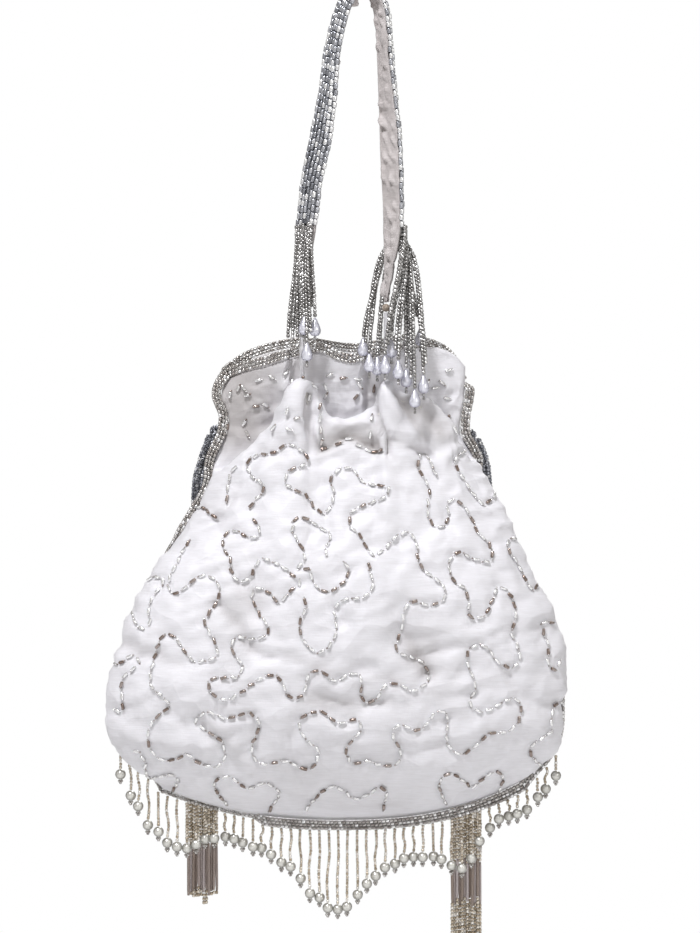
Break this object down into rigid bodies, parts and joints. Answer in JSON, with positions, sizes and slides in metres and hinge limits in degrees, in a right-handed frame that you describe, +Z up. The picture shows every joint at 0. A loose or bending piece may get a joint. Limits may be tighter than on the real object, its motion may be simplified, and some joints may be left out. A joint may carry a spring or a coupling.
{
  "type": "potli bag",
  "caption": "Drawstring pouch of silk with gathered neck and ruffle, bead-covered strap handle, bead-strand tassels, bead borders and a scalloped pearl fringe.",
  "frame": {"origin": "inner underside of the top of the handle loop, where the bag hangs", "axes": "+Z up along the hanging bag, front of the bag faces -Y, +X to the right seen from the front"},
  "size_m": [0.2323, 0.0775, 0.4915],
  "materials": {
    "silk": "raw silk, ivory white, fine slubs",
    "lining": "plain cream lining cloth",
    "strap_lining": "creased cream silk",
    "silver_beads": "silver-lined clear glass beads",
    "taupe_beads": "silver-lined taupe glass beads",
    "pearl": "pearl lustre",
    "cord": "beige twisted cord"
  },
  "bodies": {
    "handle": {"handle_tape": "strap_lining", "handle_bead_facing": "silver_beads"},
    "bag": {"front_panel": "silk", "back_panel": "silk", "front_lining": "lining", "back_lining": "lining", "front_bead_border": "silver_beads", "back_bead_border": "silver_beads", "pearl_fringe": "pearl", "drawstring": "cord", "left_knot": "cord", "right_knot": "cord"},
    "left_handle_tassel": {"left_strand_1": "silver_beads", "left_strand_2": "silver_beads", "left_strand_3": "silver_beads", "left_strand_4": "silver_beads", "left_strand_5": "silver_beads", "left_strand_6": "silver_beads", "left_strand_7": "silver_beads", "left_drop_5": "pearl", "left_drop_6": "pearl", "left_drop_7": "pearl"},
    "right_inner_tassel": {"right_strand_1": "silver_beads", "right_strand_2": "silver_beads", "right_strand_3": "silver_beads", "right_drop_1": "pearl", "right_drop_2": "pearl", "right_drop_3": "pearl"},
    "right_outer_tassel": {"right_strand_4": "silver_beads", "right_strand_5": "silver_beads", "right_strand_6": "silver_beads", "right_strand_7": "silver_beads", "right_strand_8": "silver_beads", "right_strand_9": "silver_beads", "right_strand_10": "silver_beads", "right_drop_4": "pearl", "right_drop_5": "pearl", "right_drop_6": "pearl", "right_drop_7": "pearl", "right_drop_8": "pearl", "right_drop_9": "pearl", "right_drop_10": "pearl"},
    "left_side_tassel": {"left_side_knot": "cord", "left_side_strand_1": "taupe_beads", "left_side_strand_2": "taupe_beads", "left_side_strand_3": "taupe_beads", "left_side_strand_4": "taupe_beads", "left_side_strand_5": "taupe_beads", "left_side_strand_6": "taupe_beads"},
    "right_side_tassel": {"right_side_knot": "cord", "right_side_strand_1": "taupe_beads", "right_side_strand_2": "taupe_beads", "right_side_strand_3": "taupe_beads", "right_side_strand_4": "taupe_beads", "right_side_strand_5": "taupe_beads", "right_side_strand_6": "taupe_beads"}
  },
  "joints": [
    {"name": "bag_swing", "type": "hinge", "parent": "handle", "child": "bag", "pos_m": [-0.0095, -0.003, -0.16125], "axis": [1, 0, 0], "range_deg": [0, 75]},
    {"name": "left_handle_tassel_swing", "type": "hinge", "parent": "handle", "child": "left_handle_tassel", "pos_m": [-0.0345, -0.001, -0.12025], "axis": [0, 1, 0], "range_deg": [0, 35]},
    {"name": "right_inner_tassel_swing", "type": "hinge", "parent": "handle", "child": "right_inner_tassel", "pos_m": [0.0113, 0.006, -0.11925], "axis": [0, 1, 0], "range_deg": [0, 18]},
    {"name": "right_outer_tassel_swing", "type": "hinge", "parent": "handle", "child": "right_outer_tassel", "pos_m": [0.0227, -0.001, -0.11925], "axis": [0, 1, 0], "range_deg": [-35, 0]},
    {"name": "left_side_tassel_swing", "type": "hinge", "parent": "bag", "child": "left_side_tassel", "pos_m": [-0.074, 0.0209, -0.22075], "axis": [1, 0, 0], "range_deg": [0, 60]},
    {"name": "right_side_tassel_swing", "type": "hinge", "parent": "bag", "child": "right_side_tassel", "pos_m": [0.054, 0.0213, -0.22275], "axis": [1, 0, 0], "range_deg": [0, 60]}
  ]
}
